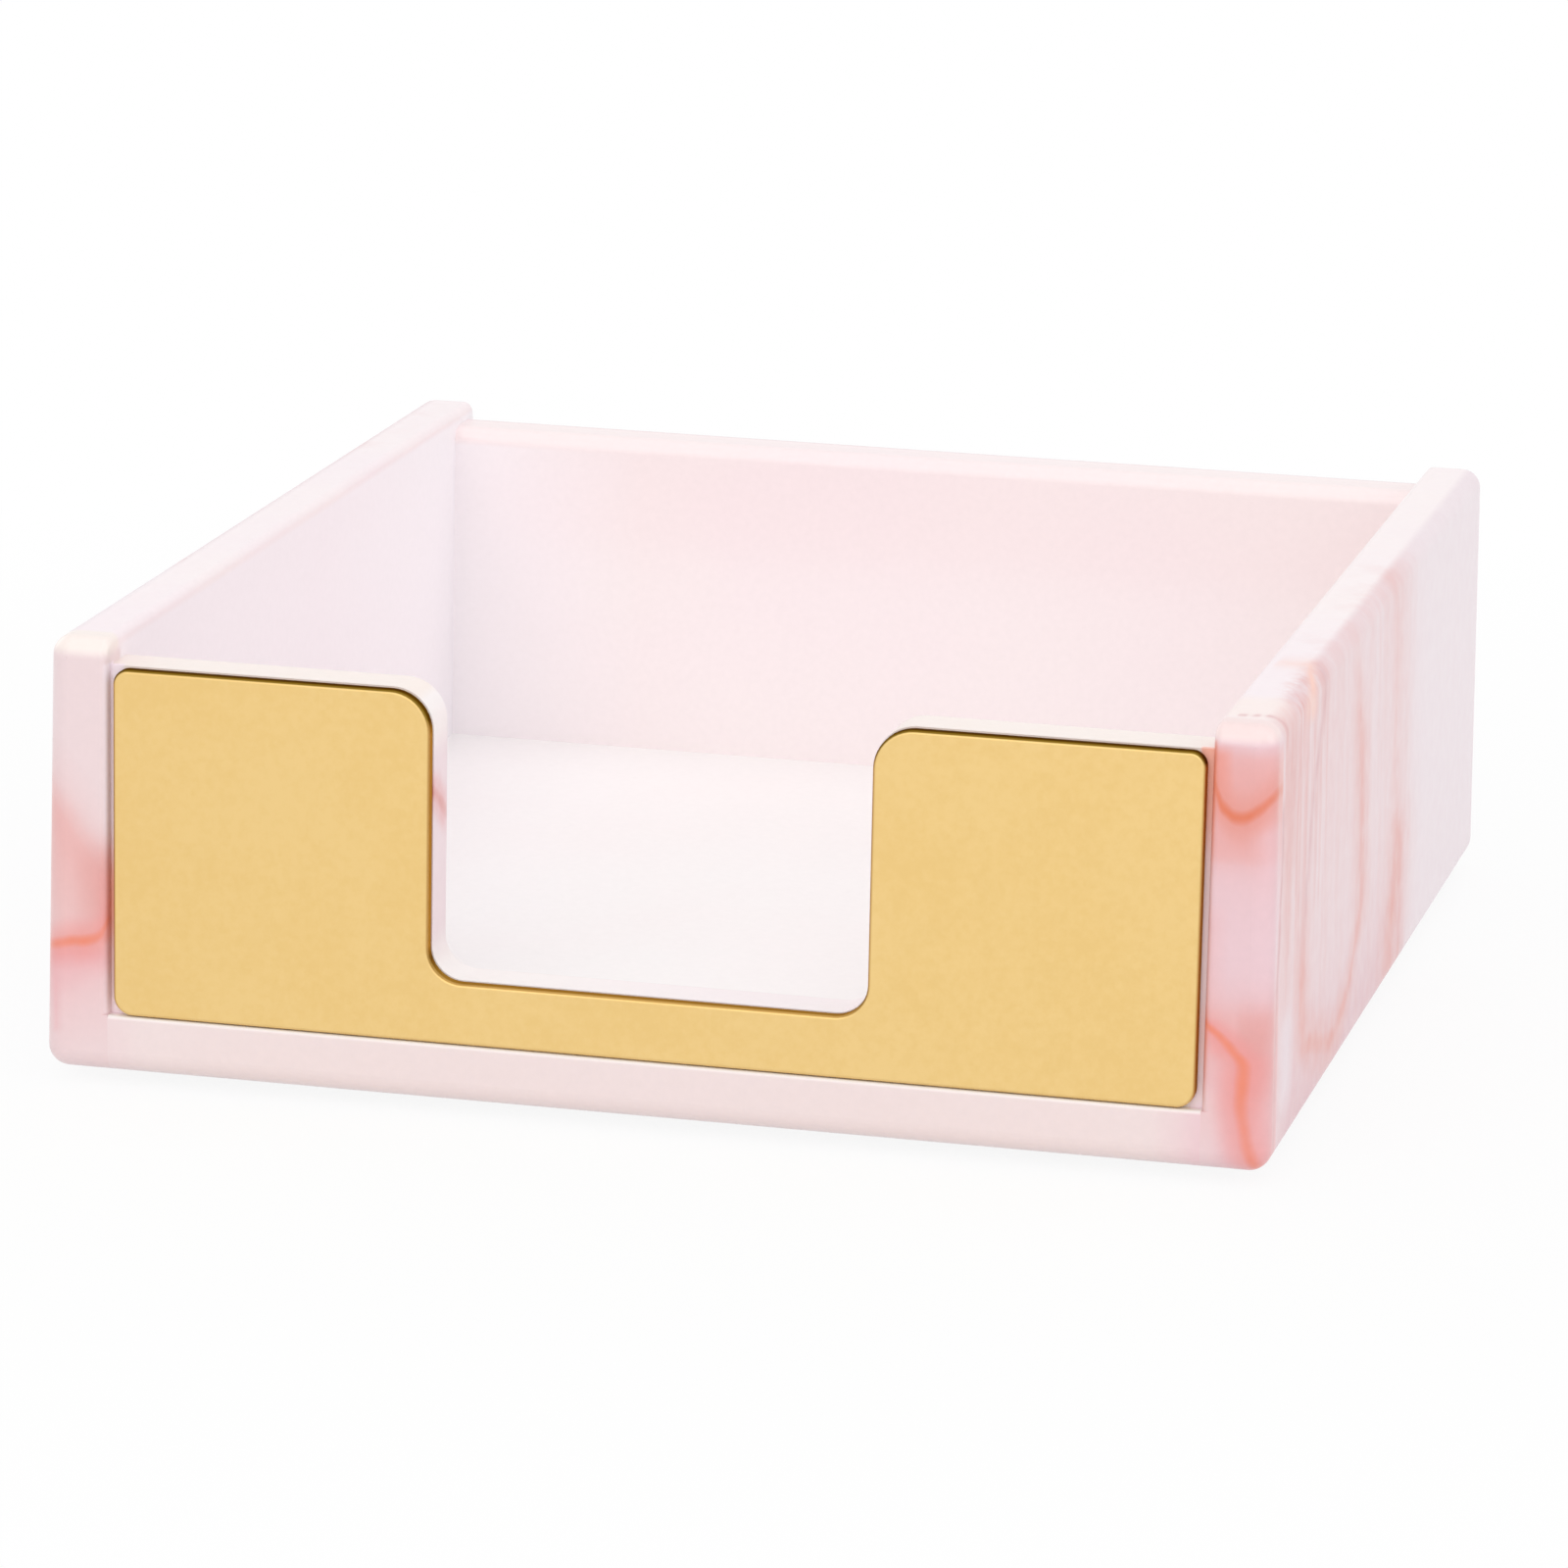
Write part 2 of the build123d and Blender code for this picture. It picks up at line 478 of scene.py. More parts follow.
OUTER_GROUND = "#EFDFE5"

RIGHT_MARKS: tuple[Mark, ...] = (
    # Outer face: ground, tint of its front half, band along its foot and fine streaks
    Tone(OUTER_GROUND, RIGHT_OUTER),
    Wash(Axis.DEEP,
         ((2.3, 0.42), (8.0, 0.38), (20.0, 0.34), (34.0, 0.3), (46.0, 0.24), (54.0, 0.28), (60.0, 0.1),
          (68.0, 0.0)),
         RIGHT_OUTER, Ink.ROSE),
    Wash(Axis.UP, ((0.0, 0.8), (2.0, 0.7), (4.0, 0.55), (7.0, 0.3), (11.0, 0.1), (15.0, 0.0)),
         Patch(across=RIGHT_FACE, deep=(5.0, 58.0), soft=7.0), Ink.HEATHER),
    Streaks(2.0, 22.0, ((0.0, 0.15), (10.0, 0.3), (16.0, 0.5), (22.0, 0.7), (32.1, 0.8)),
            Patch(across=RIGHT_FACE, deep=(3.2, 22.0), soft=3.0)),
    Streaks(1.1, 20.0, ((0.0, 0.0), (12.0, 0.05), (18.0, 0.3), (32.1, 0.45)),
            Patch(across=RIGHT_FACE, deep=(3.2, 21.0), soft=3.0), Ink.BRICK),
    Streaks(3.2, 26.0, ((0.0, 0.35), (32.1, 0.35)), Patch(across=RIGHT_FACE, deep=(20.0, 60.0), soft=9.0)),
    Wash(Axis.UP, ((19.0, 0.0), (23.0, 0.4), (28.0, 0.5), (32.1, 0.4)),
         Patch(across=RIGHT_FACE, deep=(4.8, 9.2), soft=2.6), Ink.BRICK),
    Wash(Axis.UP, ((9.0, 0.0), (12.0, 0.22), (16.0, 0.18), (20.0, 0.0)),
         Patch(across=RIGHT_FACE, deep=(3.0, 7.5), soft=2.0), Ink.ROSE),
    Tone("#EBD6DD", Patch(across=RIGHT_FACE, deep=(4.2, 8.5), up=(3.5, 10.0), soft=3.5)),
    # Loop on the outer face: thin and thick part of its front leg, foot and rear leg
    Vein(Axis.UP, Axis.DEEP,
         ((12.0, 12.6, 0.0), (15.0, 13.0, 0.4), (19.0, 14.2, 0.4), (23.0, 15.6, 0.4), (26.0, 17.2, 0.45),
          (30.5, 20.0, 0.5), (32.1, 20.6, 0.3)),
         core=1.3, halo=3.0, patch=RIGHT_OUTER, ink=Ink.MAUVE, blush=Ink.ROSE),
    Vein(Axis.UP, Axis.DEEP,
         ((4.5, 15.2, 0.0), (6.0, 13.6, 0.8), (8.0, 12.8, 0.85), (11.0, 12.4, 0.8), (14.0, 12.6, 0.4),
          (17.0, 13.4, 0.0)),
         core=2.4, halo=4.6, patch=RIGHT_OUTER, ink=Ink.CLAY, blush=Ink.ROSE),
    Vein(Axis.DEEP, Axis.UP,
         ((12.4, 7.6, 0.0), (14.5, 5.8, 0.8), (18.8, 4.6, 0.95), (25.8, 3.1, 0.95), (30.0, 3.9, 0.9),
          (33.5, 5.4, 0.75), (36.0, 8.0, 0.5), (38.0, 10.5, 0.0)),
         core=1.5, halo=3.6, patch=RIGHT_OUTER, ink=Ink.CLAY, blush=Ink.ROSE),
    Vein(Axis.UP, Axis.DEEP,
         ((6.5, 35.0, 0.0), (9.0, 37.2, 0.65), (11.0, 38.0, 0.7), (15.0, 37.8, 0.65), (18.0, 37.5, 0.7),
          (22.5, 36.7, 0.75), (26.0, 35.2, 0.4), (30.0, 34.0, 0.1)),
         core=2.4, halo=5.5, patch=RIGHT_OUTER, ink=Ink.CLAY, blush=Ink.ROSE),
    # Forked streak in the middle of the outer face
    Vein(Axis.UP, Axis.DEEP,
         ((0.3, 51.5, 0.4), (3.0, 52.0, 0.75), (5.0, 52.5, 0.85), (8.0, 54.0, 0.85), (10.0, 54.6, 0.8),
          (12.5, 54.2, 0.6), (15.0, 53.6, 0.25), (20.0, 53.2, 0.2), (26.0, 53.0, 0.22), (31.5, 52.4, 0.25)),
         core=5.0, halo=8.5, patch=RIGHT_OUTER, ink=Ink.CLAY, blush=Ink.ROSE),
    Vein(Axis.UP, Axis.DEEP, ((0.5, 55.5, 0.4), (4.0, 56.8, 0.35), (8.0, 56.0, 0.25), (11.0, 55.0, 0.0)),
         core=1.5, halo=3.0, patch=RIGHT_OUTER, ink=Ink.CLAY, blush=Ink.ROSE),
    # Warm front of the top, the mark that crosses it, and a row of flecks in front of the mark
    Tone("#FEEDE9", Patch(across=(None, 4.0), deep=(2.3, 9.0), up=(31.0, None), soft=3.0)),
    Vein(Axis.ACROSS, Axis.DEEP,
         ((0.6, 20.0, 0.0), (1.2, 20.0, 0.3), (2.2, 20.2, 0.3), (3.0, 20.0, 0.4), (3.6, 18.5, 0.8),
          (4.2, 15.5, 0.85), (4.8, 12.0, 0.5)),
         core=1.6, halo=3.0, patch=MARK_REACH, ink=Ink.PEACH, blush=Ink.PEACH),
    Vein(Axis.ACROSS, Axis.DEEP,
         ((1.0, 3.6, 0.0), (1.5, 3.6, 0.6), (1.9, 3.6, 0.1), (2.4, 3.7, 0.65), (2.8, 3.7, 0.1),
          (3.2, 3.8, 0.7), (3.7, 4.0, 0.4), (4.2, 4.4, 0.5)),
         core=0.45, halo=0.9, patch=RIGHT_TOP, ink=Ink.MAUVE, blush=Ink.ROSE),
    # Front end: ground, washes, arc, lower vein, and the glow along the plate
    Tone("#F9E1DF", END_TOP),
    Tone("#EDCBD2", END_FACE),
    Tone("#F0DCE1", Patch(across=(None, 1.2), deep=END_DEEP, up=(None, 6.0), soft=2.0)),
    Wash(Axis.UP,
         ((0.0, 0.12), (1.5, 0.18), (3.0, 0.27), (4.5, 0.34), (6.0, 0.38), (7.5, 0.46), (9.0, 0.58),
          (10.5, 0.62), (12.0, 0.38), (13.5, 0.12), (16.0, 0.0), (18.0, 0.03), (20.0, 0.1), (22.0, 0.36),
          (24.0, 0.76), (25.5, 0.76), (27.5, 0.82), (29.3, 0.72), (30.3, 0.4), (30.9, 0.0)),
         FRONT_END, Ink.SHELL),
    Wash(Axis.ACROSS, ((2.2, 0.0), (3.0, 0.45), (3.8, 0.5), (4.5, 0.3), (4.9, 0.15)),
         Patch(deep=END_DEEP, up=(5.0, 11.2), soft=5.0), Ink.BRICK),
    Wash(Axis.ACROSS, ((0.0, 0.3), (0.7, 0.16), (1.6, 0.0)),
         Patch(deep=END_DEEP, up=(11.0, 19.0), soft=3.0), Ink.SHELL),
    Wash(Axis.ACROSS, ((2.6, 0.0), (3.4, 0.15), (4.2, 0.45)),
         Patch(deep=END_DEEP, up=(21.2, 24.9), soft=1.4), Ink.LILAC),
    Wash(Axis.ACROSS, ((0.2, 0.6), (0.7, 0.46), (1.5, 0.0)),
         Patch(deep=END_DEEP, up=(26.8, 30.4), soft=1.2), Ink.CORAL),
    Vein(Axis.ACROSS, Axis.UP,
         ((0.0, 28.2, 0.85), (0.5, 27.0, 0.95), (1.0, 26.2, 1.0), (2.2, 25.6, 1.0), (3.3, 26.1, 0.95),
          (4.1, 26.9, 0.8), (4.8, 27.8, 0.65)),
         core=1.0, halo=3.2, patch=FRONT_END, ink=Ink.EMBER, blush=Ink.SHELL, halo_strength=0.8, patchy=0.1),
    Vein(Axis.UP, Axis.ACROSS,
         ((0.3, 4.2, 0.65), (1.3, 3.7, 0.78), (2.9, 3.2, 0.82), (5.2, 2.9, 0.92), (7.5, 2.95, 1.0),
          (9.0, 2.1, 1.0), (10.0, 1.25, 1.0), (10.6, 0.5, 0.95), (11.3, -0.3, 0.3),
          (11.9, -0.6, 0.0)),
         core=1.0, halo=2.8, patch=FRONT_END, halo_strength=0.8, patchy=0.1),
    Wash(Axis.UP,
         ((4.0, 0.0), (6.0, 0.2), (10.0, 0.6), (12.0, 0.2), (20.0, 0.1), (24.0, 0.5), (28.0, 0.9),
          (30.3, 0.7), (31.0, 0.0)),
         Patch(across=(None, 0.25), deep=END_DEEP, soft=0.4), Ink.CORAL),
    # Thin line down the outer corner of the front end
    Vein(Axis.UP, Axis.DEEP,
         ((8.0, 2.0, 0.4), (12.0, 2.2, 0.45), (16.0, 2.6, 0.7), (20.0, 3.0, 0.65), (24.0, 3.4, 0.65),
          (27.0, 3.4, 0.2), (28.0, 3.4, 0.0)),
         core=0.4, halo=1.0, patch=RIGHT_CORNER, ink=Ink.MAUVE, blush=Ink.BRICK),
)

LEFT_MARKS: tuple[Mark, ...] = (
    # Inner face, with a milk-white wash towards the rear corner that is painted light against the corner's
    # shade
    Tone("#FDF4F9", LEFT_INNER),
    Wash(Axis.DEEP, ((52.0, 0.0), (86.0, 0.9)), LEFT_INNER, Ink.PAINTED_LIGHT),
    # Outer face: ground and veins
    Tone(OUTER_GROUND, LEFT_OUTER),
    Wash(Axis.DEEP, ((24.0, 0.0), (34.0, 0.18), (60.0, 0.2), (76.0, 0.22), (94.5, 0.24)),
         LEFT_OUTER, Ink.ROSE),
    Streaks(2.4, 24.0, ((0.0, 0.1), (16.0, 0.22), (32.1, 0.35)),
            Patch(across=LEFT_FACE, deep=(72.0, None), soft=6.0)),
    Vein(Axis.UP, Axis.DEEP,
         ((0.5, 70.0, 0.35), (6.0, 68.0, 0.55), (12.0, 69.5, 0.5), (18.0, 72.0, 0.35), (25.0, 73.0, 0.3),
          (31.5, 71.0, 0.15)),
         core=2.4, halo=5.5, patch=LEFT_OUTER, ink=Ink.BRICK, blush=Ink.ROSE),
    Vein(Axis.UP, Axis.DEEP,
         ((3.5, 37.0, 0.0), (6.0, 34.5, 0.5), (10.0, 33.0, 0.6), (16.0, 32.5, 0.45), (22.0, 30.5, 0.3),
          (31.5, 27.5, 0.2)),
         core=1.6, halo=4.0, patch=LEFT_OUTER, ink=Ink.BRICK, blush=Ink.ROSE),
    Vein(Axis.DEEP, Axis.UP,
         ((33.0, 7.0, 0.0), (38.0, 4.6, 0.5), (46.0, 3.8, 0.7), (54.0, 4.6, 0.7), (62.0, 7.5, 0.5),
          (68.0, 11.0, 0.0)),
         core=0.9, halo=2.6, patch=LEFT_OUTER, ink=Ink.BRICK, blush=Ink.ROSE),
    # Front end: ground, slanting wash, vein, and the glow where it turns up along the plate
    # The cream tone on the top of the front end is a painted warm highlight
    Tone("#FCF0EA", END_TOP),
    Tone("#F0DBDD", END_FACE),
    # Inner face beside the plate: a lighter tone that is painted light against the shade in the gap
    Tone("#F8E8EE", Patch(across=(4.6, None), deep=(None, 1.6), up=(4.4, 30.3), soft=0.3)),
    Wash(Axis.UP,
         ((10.0, 0.35), (14.0, 0.5), (17.5, 0.62), (19.5, 0.68), (21.5, 0.5), (24.0, 0.15), (27.0, 0.02)),
         Patch(deep=END_DEEP, up=(8.2, None), soft=2.5), Ink.SHELL, lean=1.3),
    Wash(Axis.UP, ((0.0, 0.05), (1.4, 0.12), (4.4, 0.3), (6.0, 0.52), (8.0, 0.7)),
         Patch(deep=END_DEEP, up=(None, 9.4), soft=1.5), lean=-0.45),
    Wash(Axis.ACROSS, ((2.2, 0.0), (3.6, 0.3), (4.87, 0.5)),
         Patch(deep=END_DEEP, up=(10.5, 17.0), soft=4.0), Ink.BRICK),
    Vein(Axis.ACROSS, Axis.UP,
         ((0.2, 8.9, 0.5), (0.9, 9.3, 0.9), (2.0, 9.65, 1.0), (3.3, 9.8, 1.0), (4.2, 10.25, 1.0),
          (4.87, 11.8, 0.95)),
         core=0.85, halo=2.7, patch=FRONT_END, patchy=0.15),
    Vein(Axis.UP, Axis.ACROSS,
         ((9.5, 4.6, 0.0), (11.0, 4.75, 0.45), (13.0, 4.9, 0.5), (15.5, 5.0, 0.3), (18.0, 5.1, 0.0)),
         core=0.5, halo=1.3, patch=FRONT_END),
    Vein(Axis.UP, Axis.ACROSS, ((2.5, 0.8, 0.0), (4.0, 0.9, 0.2), (6.0, 0.9, 0.15), (8.0, 0.8, 0.0)),
         core=0.35, halo=0.8, patch=FRONT_END, ink=Ink.SALMON),
)

FRONT_MARKS: tuple[Mark, ...] = (
    # Warm top
    Tone("#FCEFE8", Patch(up=(29.4, None), soft=0.6)),
    # Rail, which takes up the colours of the side boards at its ends
    Tone("#F3E2E2", RAIL),
    Wash(Axis.ACROSS, ((2.0, 0.25), (3.2, 0.16), (6.0, 0.0), (77.0, 0.0), (79.5, 0.2), (82.2, 0.75)),
         RAIL, Ink.LILAC),
    # Near-white line along the rail's top edge: painted highlight on the rounded edge, and painted light in
    # the gap under the plate
    Tone("#FFFBF9", Patch(deep=(None, 1.2), up=(4.2, 4.7), soft=0.25)),
    # Left cheek of the notch, and the short vein on it
    Tone("#F5E2E8", Patch(across=(24.6, 27.4), up=(11.2, 26.0), soft=3.0)),
    Vein(Axis.DEEP, Axis.UP,
         ((0.9, 22.6, 0.8), (2.2, 21.8, 0.9), (3.4, 20.9, 0.8), (4.6, 20.2, 0.3), (5.0, 20.0, 0.0)),
         core=1.1, halo=2.6, patch=Patch(across=(25.3, 26.6), soft=0.4), ink=Ink.BRICK),
    # Recess behind the gaps at both ends of the plate: its near-white tone is painted light against the
    # recess's shade, and the flame washes are the print's coral, made pale as painted light
    Tone("#FFF0F8", Patch(across=(81.2, None), deep=GAP_DEEP, up=(4.2, None), soft=0.3)),
    Tone("#FFF0F8", Patch(across=(None, 3.0), deep=GAP_DEEP, up=(4.2, None), soft=0.3)),
    Wash(Axis.UP, ((4.0, 0.0), (7.0, 0.1), (10.0, 0.3), (13.0, 0.1), (21.0, 0.2), (26.0, 0.8), (30.2, 0.9)),
         Patch(across=(81.2, None), deep=GAP_DEEP, soft=0.3), Ink.FLAME),
    Wash(Axis.UP, ((4.0, 0.0), (9.0, 0.4), (13.0, 0.9), (16.0, 0.5), (20.0, 0.0), (30.2, 0.0)),
         Patch(across=(None, 3.0), deep=GAP_DEEP, soft=0.3), Ink.FLAME),
)

BACK_MARKS: tuple[Mark, ...] = (
    # Inner face, pinker towards the top, and paler towards the left corner through painted light against the
    # corner's shade
    Wash(Axis.UP, ((0.0, 0.0), (18.0, 0.02), (25.0, 0.09), (30.8, 0.1)), Patch(deep=(None, 4.2), soft=0.7)),
    Wash(Axis.ACROSS, ((2.0, 0.7), (18.0, 0.0)), Patch(up=(None, 29.6), soft=0.7), Ink.PAINTED_LIGHT),
    # Outer face: ground, tint, streaks, slanting vein, soft streak and the vein along the foot
    Tone(OUTER_GROUND, BACK_OUTER),
    Wash(Axis.ACROSS, ((2.0, 0.34), (16.0, 0.3), (30.0, 0.16), (46.0, 0.04), (60.0, 0.16), (82.0, 0.1)),
         BACK_OUTER, Ink.ROSE),
    Streaks(2.2, 24.0, ((0.0, 0.1), (14.0, 0.25), (30.8, 0.5)),
            Patch(across=(None, 22.0), deep=(3.6, None), soft=1.5)),
    Vein(Axis.UP, Axis.ACROSS,
         ((0.5, 15.0, 0.45), (5.0, 18.5, 0.65), (10.0, 24.0, 0.7), (15.0, 27.0, 0.6), (20.0, 28.4, 0.4),
          (26.0, 32.5, 0.3), (30.0, 36.0, 0.15)),
         core=1.6, halo=4.5, patch=BACK_OUTER, ink=Ink.CLAY, blush=Ink.ROSE),
    Vein(Axis.UP, Axis.ACROSS,
         ((0.3, 61.0, 0.35), (4.0, 62.0, 0.6), (8.0, 63.6, 0.65), (12.0, 63.0, 0.4), (18.0, 61.5, 0.2),
          (30.0, 60.0, 0.15)),
         core=4.0, halo=7.5, patch=BACK_OUTER, ink=Ink.CLAY, blush=Ink.ROSE),
    Vein(Axis.ACROSS, Axis.UP,
         ((21.0, 9.5, 0.0), (25.0, 6.4, 0.5), (32.0, 4.2, 0.7), (40.0, 4.6, 0.7), (46.0, 7.2, 0.5),
          (51.0, 11.5, 0.0)),
         core=1.0, halo=2.8, patch=BACK_OUTER, ink=Ink.CLAY, blush=Ink.ROSE),
)

PRINTS: dict[Board, MarblePrint] = {
    Board.BASE: MarblePrint(ground="#FFFEFD", haze="#FFFCFB"),
    Board.LEFT: MarblePrint(marks=LEFT_MARKS),
    Board.RIGHT: MarblePrint(marks=RIGHT_MARKS),
    Board.FRONT: MarblePrint(ground="#FEF8F6", haze="#FDF3F5", marks=FRONT_MARKS),
    Board.BACK: MarblePrint(ground="#FFF5F4", haze="#FFF3F4", marks=BACK_MARKS),
}


@dataclass(frozen=True)
class GoldTonePlate:
    """Gold-tone electroplated steel, bead-blasted to a satin and blanked to shape.

    The blast gives an even, soft gold with a fine mottled grain. The edges are bronze. Edges that look up are
    painted a dark olive brown as painted shade and dark reflection, less so at the notch's floor, and edges
    that look down keep the gold as painted light on the gap under the plate.
    """

    face: str = "#EAC783"
    face_light: str = "#ECCB8A"
    edge: str = "#C69C5C"
    edge_painted_shade: str = "#7A5F22"
    grain: float = 0.5
    grain_height: float = 0.02
    grain_strength: float = 0.15
    satin: Band = (0.36, 0.44)
    cloud: float = 9.0
    tone_band: Band = (0.8, 1.2)
    edge_depth: float = 0.05
    painted_shade_facing: Band = (0.02, 0.3)
    painted_gold_facing: Band = (-0.6, -0.1)
    dark_from: float = 10.2
    dark_to: float = 12.5
    dark_low: float = 0.35

    def make(self) -> bpy.types.Material:
        """Makes the material of the plate.

        Returns:
            The material.
        """
        bench = Bench.for_material("gold_tone_satin_steel")
        here = bench.add("VectorMath", bench.add("TexCoord", out="Object"), 1 / MM, operation="SCALE")
        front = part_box("front_plate")[0].y / MM
        deep = bench.add("SeparateXYZ", here, out="Y")
        height = bench.add("SeparateXYZ", here, out="Z")
        cloud = bench.add("TexNoise", here, 1 / self.cloud, *Noise.CLOUDY.value)
        grain = bench.add("TexNoise", here, 1 / self.grain, *Noise.FINE.value)
        tone = bench.add("Math", cloud, grain, operation="ADD")
        tone = bench.add("MapRange", tone, *self.tone_band, 0.0, 1.0)
        face = bench.add("Mix", tone, linear(self.face), linear(self.face_light), data_type="RGBA")
        facing = bench.add("SeparateXYZ", bench.add("NewGeometry", out="Normal"), out="Z")
        # Edges that face up are painted a dark olive brown by their normal: painted shade and dark
        # reflection, weaker below the notch's floor
        painted_shade_facing = bench.add("MapRange", facing, *self.painted_shade_facing, 0.0, 1.0)
        dark = bench.add("MapRange", height, self.dark_from, self.dark_to, self.dark_low, 1.0)
        painted_shade_facing = bench.add("Math", painted_shade_facing, dark, operation="MULTIPLY")
        edge = bench.add("Mix", painted_shade_facing, linear(self.edge), linear(self.edge_painted_shade), data_type="RGBA")
        turned = bench.add("MapRange", deep, front, front + self.edge_depth, 0.0, 1.0)
        # Edges that face down keep the face gold: painted light that lightens the gap under the plate
        bronze = bench.add("MapRange", facing, *self.painted_gold_facing, 0.0, 1.0)
        turned = bench.add("Math", turned, bronze, operation="MULTIPLY")
        colour = bench.add("Mix", turned, face, edge, data_type="RGBA")
        sheen = bench.add("Mix", turned, WHITE, edge, data_type="RGBA")
        roughness = bench.add("MapRange", grain, *WIDE_BAND, *self.satin)
        normal = bench.add("Bump", self.grain_strength, self.grain_height * MM, sockets={"Height": grain})
        return bench.finish(
            Base_Color=colour, Metallic=1.0, Specular_Tint=sheen, Roughness=roughness, Normal=normal)


@dataclass(frozen=True)
class AdhesiveFilm:
    """Double-sided polyester tape: cloudy off-white, with its faint fibre, at a die-cut edge."""

    pale: str = "#E6E2D8"
    dull: str = "#CFC9BC"
    fibre: float = 0.6
    fibre_height: float = 0.02
    fibre_strength: float = 0.2
    matt: Band = (0.45, 0.6)
    index: float = 1.48

    def make(self) -> bpy.types.Material:
        """Makes the material of the film.

        Returns:
            The material.
        """
        bench = Bench.for_material("double_sided_tape")
        here = bench.add("VectorMath", bench.add("TexCoord", out="Object"), 1 / MM, operation="SCALE")
        fibre = bench.add("TexNoise", here, 1 / self.fibre, *Noise.CLOUDY.value)
        colour = bench.add("Mix", fibre, linear(self.pale), linear(self.dull), data_type="RGBA")
        roughness = bench.add("MapRange", fibre, *WIDE_BAND, *self.matt)
        normal = bench.add("Bump", self.fibre_strength, self.fibre_height * MM, sockets={"Height": fibre})
        return bench.finish(Base_Color=colour, Roughness=roughness, Normal=normal, IOR=self.index)


@dataclass(frozen=True)
class FoamRubber:
    """Die-cut foam rubber: dark grey and matt, pitted by its closed cells."""

    skin: str = "#3C3C3F"
    pit: str = "#26262A"
    cell: float = 0.45
    cell_band: Band = (0.1, 0.6)
    pit_height: float = 0.1
    pit_strength: float = 0.5
    matt_band: Band = (0.0, 0.7)
    matt: Band = (0.95, 0.8)
    index: float = 1.5

    def make(self) -> bpy.types.Material:
        """Makes the material of the foot pads.

        Returns:
            The material.
        """
        bench = Bench.for_material("foam_rubber")
        here = bench.add("VectorMath", bench.add("TexCoord", out="Object"), 1 / MM, operation="SCALE")
        cells = bench.add("TexVoronoi", here, 1 / self.cell)
        open_cells = bench.add("MapRange", cells, *self.cell_band, 0.0, 1.0)
        colour = bench.add("Mix", open_cells, linear(self.pit), linear(self.skin), data_type="RGBA")
        roughness = bench.add("MapRange", cells, *self.matt_band, *self.matt)
        normal = bench.add("Bump", self.pit_strength, self.pit_height * MM, sockets={"Height": open_cells})
        return bench.finish(Base_Color=colour, Roughness=roughness, Normal=normal, IOR=self.index)


def dress(node: str, material: bpy.types.Material) -> None:
    """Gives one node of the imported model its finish.

    Args:
        node: Name of the node.
        material: Finish for all of it.
    """
    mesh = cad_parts[node].data
    mesh.materials.clear()
    mesh.materials.append(material)
    log.info("%s: %s", node, material.name)


@dataclass
class Tray:
    """Tray of five marble-print boards."""

    prints: dict[Board, MarblePrint] = field(default_factory=lambda: dict(PRINTS))

    def dress(self) -> None:
        """Gives each board its own print."""
        for board, marble in self.prints.items():
            dress(board.value, marble.make(board))


@dataclass
class FrontPlate:
    """Notched plate and the film behind it."""

    plate: GoldTonePlate = GoldTonePlate()
    film: AdhesiveFilm = AdhesiveFilm()

    def dress(self) -> None:
        """Gives plate and film their finishes."""
        dress("front_plate", self.plate.make())
        dress("plate_adhesive", self.film.make())


@dataclass
class FootPads:
    """Four pads under the base."""

    finish: FoamRubber = FoamRubber()

    def dress(self) -> None:
        """Gives the pads their finish."""
        rubber = self.finish.make()
        for end in ("front", "rear"):
            for hand in ("left", "right"):
                dress(f"foot_pad_{end}_{hand}", rubber)


@dataclass(frozen=True)
class Lamp:
    """Square soft lamp that is aimed at the tray."""

    name: str
    place: tuple[float, float, float]
    size: float
    watts: float


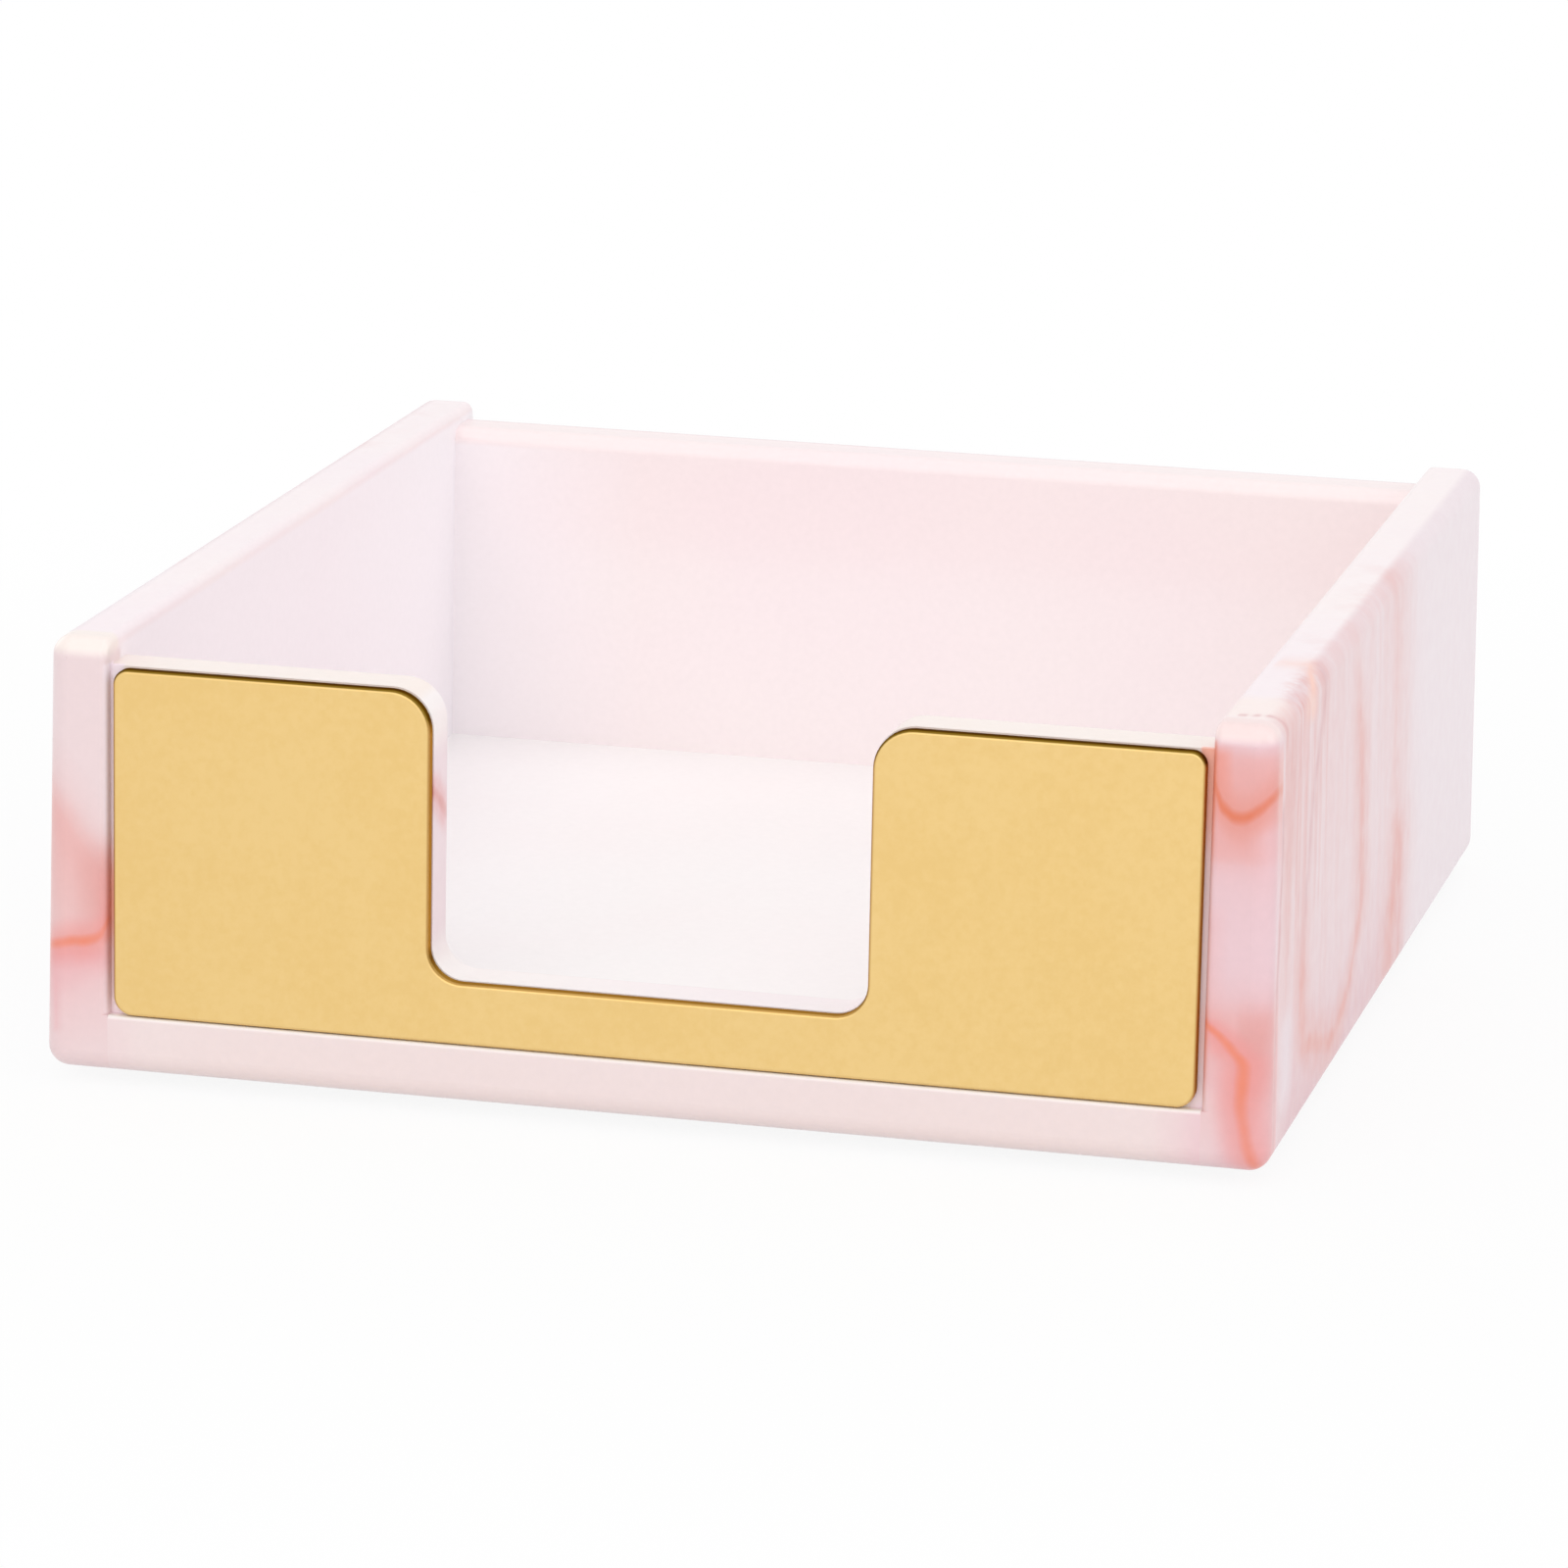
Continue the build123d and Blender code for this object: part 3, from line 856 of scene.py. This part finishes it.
@dataclass
class Studio:
    """White floor, soft light and the camera."""

    floor_size: float = 6.0
    floor_colour: str = "#F4F4F4"
    floor_white: float = 0.9
    shadow_near: float = 0.06
    shadow_far: float = 0.18
    sky_strength: float = 0.64
    lamps: tuple[Lamp, ...] = (
        Lamp("top_lamp", place=(0.0, -0.1, 1.0), size=1.2, watts=2.0),
        Lamp("front_lamp", place=(-0.05, -1.2, 0.65), size=1.2, watts=4.75),
        Lamp("right_lamp", place=(1.3, -0.1, 0.6), size=1.0, watts=3.4),
        Lamp("rear_lamp", place=(-1.3, 0.75, 0.6), size=1.0, watts=2.2),
    )
    camera_place: tuple[float, float, float] = (0.127451, -0.536641, 0.152335)
    camera_turn: float = 13.5219
    camera_tilt: float = 14.0357
    camera_roll: float = 1.1638
    lens: float = 170.309
    sensor: float = 36.0

    def seen(self, bench: Bench) -> Socket:
        """Adds the nodes that are 1 for what the camera, metal and glass see.

        Args:
            bench: Node tree to add them to.

        Returns:
            1 for those rays and 0 for the rest.
        """
        rays = bench.add("LightPath").node.outputs
        seen = bench.add("Math", rays["Is Camera Ray"], rays["Is Glossy Ray"], operation="MAXIMUM")
        return bench.add("Math", seen, rays["Is Transmission Ray"], operation="MAXIMUM")

    def build_floor(self) -> None:
        """Lays the white floor, which keeps the tray's shadow and can be seen through from below."""
        bpy.ops.object.select_all(action="DESELECT")
        bpy.ops.mesh.primitive_plane_add(size=self.floor_size)
        floor = bpy.context.object
        floor.name = "floor"
        bench = Bench.for_material("white_floor")
        paper = bench.add("BsdfDiffuse", linear(self.floor_colour))
        white = bench.add("Emission", WHITE, 1.0)
        away = bench.add("VectorMath", bench.add("TexCoord", out="Object"), operation="LENGTH", out="Value")
        plain = bench.add("MapRange", away, self.shadow_near, self.shadow_far, self.floor_white, 1.0)
        share = bench.add("Math", self.seen(bench), plain, operation="MULTIPLY")
        top = bench.add("MixShader", share, paper, white)
        below = bench.add("NewGeometry", out="Backfacing")
        bench.add("OutputMaterial", bench.add("MixShader", below, top, bench.add("BsdfTransparent")))
        floor.data.materials.append(bench.material)

    def build_light(self) -> None:
        """Sets up the even sky and the lamps round the tray."""
        world = bpy.data.worlds.new("studio")
        world.use_nodes = True
        bpy.context.scene.world = world
        bench = Bench(world.node_tree)
        strength = bench.add("MapRange", self.seen(bench), 0.0, 1.0, self.sky_strength, 1.0)
        bench.add("OutputWorld", bench.add("Background", WHITE, strength))
        for lamp in self.lamps:
            light = bpy.data.lights.new(lamp.name, "AREA")
            light.size = lamp.size
            light.energy = lamp.watts
            holder = bpy.data.objects.new(lamp.name, light)
            bpy.context.scene.collection.objects.link(holder)
            holder.location = lamp.place
            holder.rotation_euler = (-Vector(lamp.place)).to_track_quat("-Z", "Y").to_euler()

    def build_camera(self) -> None:
        """Sets up the camera in front of the tray, to the right and a little above."""
        camera = bpy.data.cameras.new("camera")
        camera.lens = self.lens
        camera.sensor_width = self.sensor
        camera_object = bpy.data.objects.new("camera", camera)
        bpy.context.scene.collection.objects.link(camera_object)
        aim = Euler((math.radians(90 - self.camera_tilt), 0.0, math.radians(self.camera_turn))).to_matrix()
        aim = aim @ Matrix.Rotation(math.radians(self.camera_roll), 3, "Z")
        camera_object.location = self.camera_place
        camera_object.rotation_euler = aim.to_euler()
        bpy.context.scene.camera = camera_object

    def build(self) -> None:
        """Builds floor, light and camera."""
        self.build_floor()
        self.build_light()
        self.build_camera()
        bpy.context.scene.view_settings.view_transform = "Standard"


def main() -> None:
    """Dresses the dispenser and builds the studio round it."""
    Tray().dress()
    FrontPlate().dress()
    FootPads().dress()
    Studio().build()


if __name__ == "__main__":
    main()
